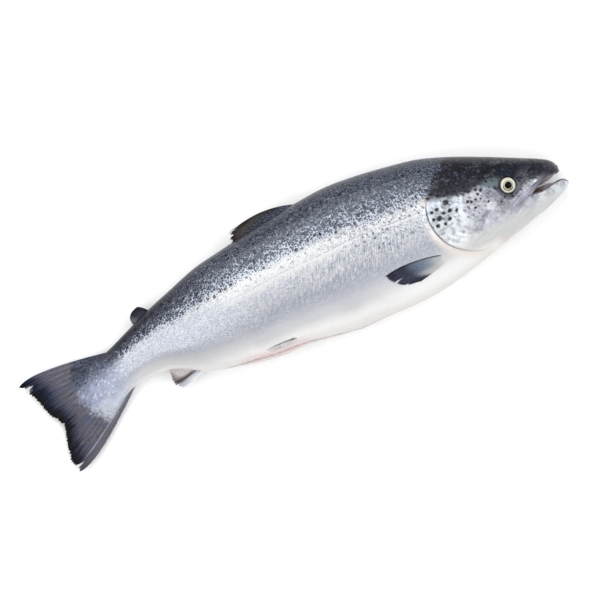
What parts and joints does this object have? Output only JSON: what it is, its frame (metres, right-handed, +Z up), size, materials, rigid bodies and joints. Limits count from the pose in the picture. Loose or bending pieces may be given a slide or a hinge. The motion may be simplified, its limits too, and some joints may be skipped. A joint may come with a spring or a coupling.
{
  "type": "whole raw fish",
  "caption": "Whole raw silver fish lying on its left side, with folded fins, forked tail, closed gill covers, a slightly open mouth and a gutting cut along the belly",
  "frame": {"origin": "Middle of the footprint, on the board the fish lies on.", "axes": "+X points from the tail to the snout along the length, +Y points from the belly to the back, +Z points up out of the right flank, which is the side the picture shows."},
  "size_m": [0.73, 0.1912, 0.0847],
  "materials": {
    "skin": "wet silver skin, dark on the back and white on the belly",
    "eye": "wet and clear"
  },
  "bodies": {
    "root": {"fish_body": "skin", "eye_right": "eye", "eye_left": "eye"}
  },
  "joints": []
}
